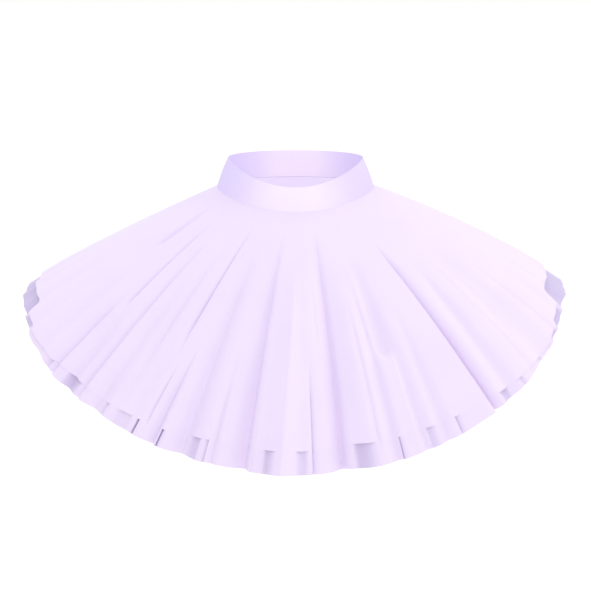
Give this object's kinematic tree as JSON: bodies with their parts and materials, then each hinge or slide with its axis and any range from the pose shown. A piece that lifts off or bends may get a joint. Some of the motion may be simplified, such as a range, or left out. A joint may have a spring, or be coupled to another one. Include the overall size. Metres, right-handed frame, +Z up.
{
  "type": "tutu",
  "caption": "Worn bell-shaped tutu: a fitted hip yoke dipping at the front over an under layer and a shorter over layer of softly pleated cloth, open at the waist and at the hem.",
  "frame": {"origin": "centre of the hip line, level with the side ends of the seam between the yoke and the skirt, where the wearer's hips hold the garment", "axes": "+Z up along the wearer's body, +X to the wearer's left, -Y to the front, where the yoke dips"},
  "size_m": [1.169, 0.9337, 0.4794],
  "materials": {
    "yoke_cloth": "smooth doubled satin-like weave, pale pinkish lilac",
    "over_cloth": "smooth light crisp weave with a soft sheen, pale lilac, raw cut hem",
    "under_cloth": "the same weave a shade greyer, raw cut hem"
  },
  "bodies": {
    "root": {"yoke_front": "yoke_cloth", "yoke_back": "yoke_cloth", "over_layer_front": "over_cloth", "over_layer_back": "over_cloth", "under_layer_front": "under_cloth", "under_layer_back": "under_cloth"}
  },
  "joints": []
}
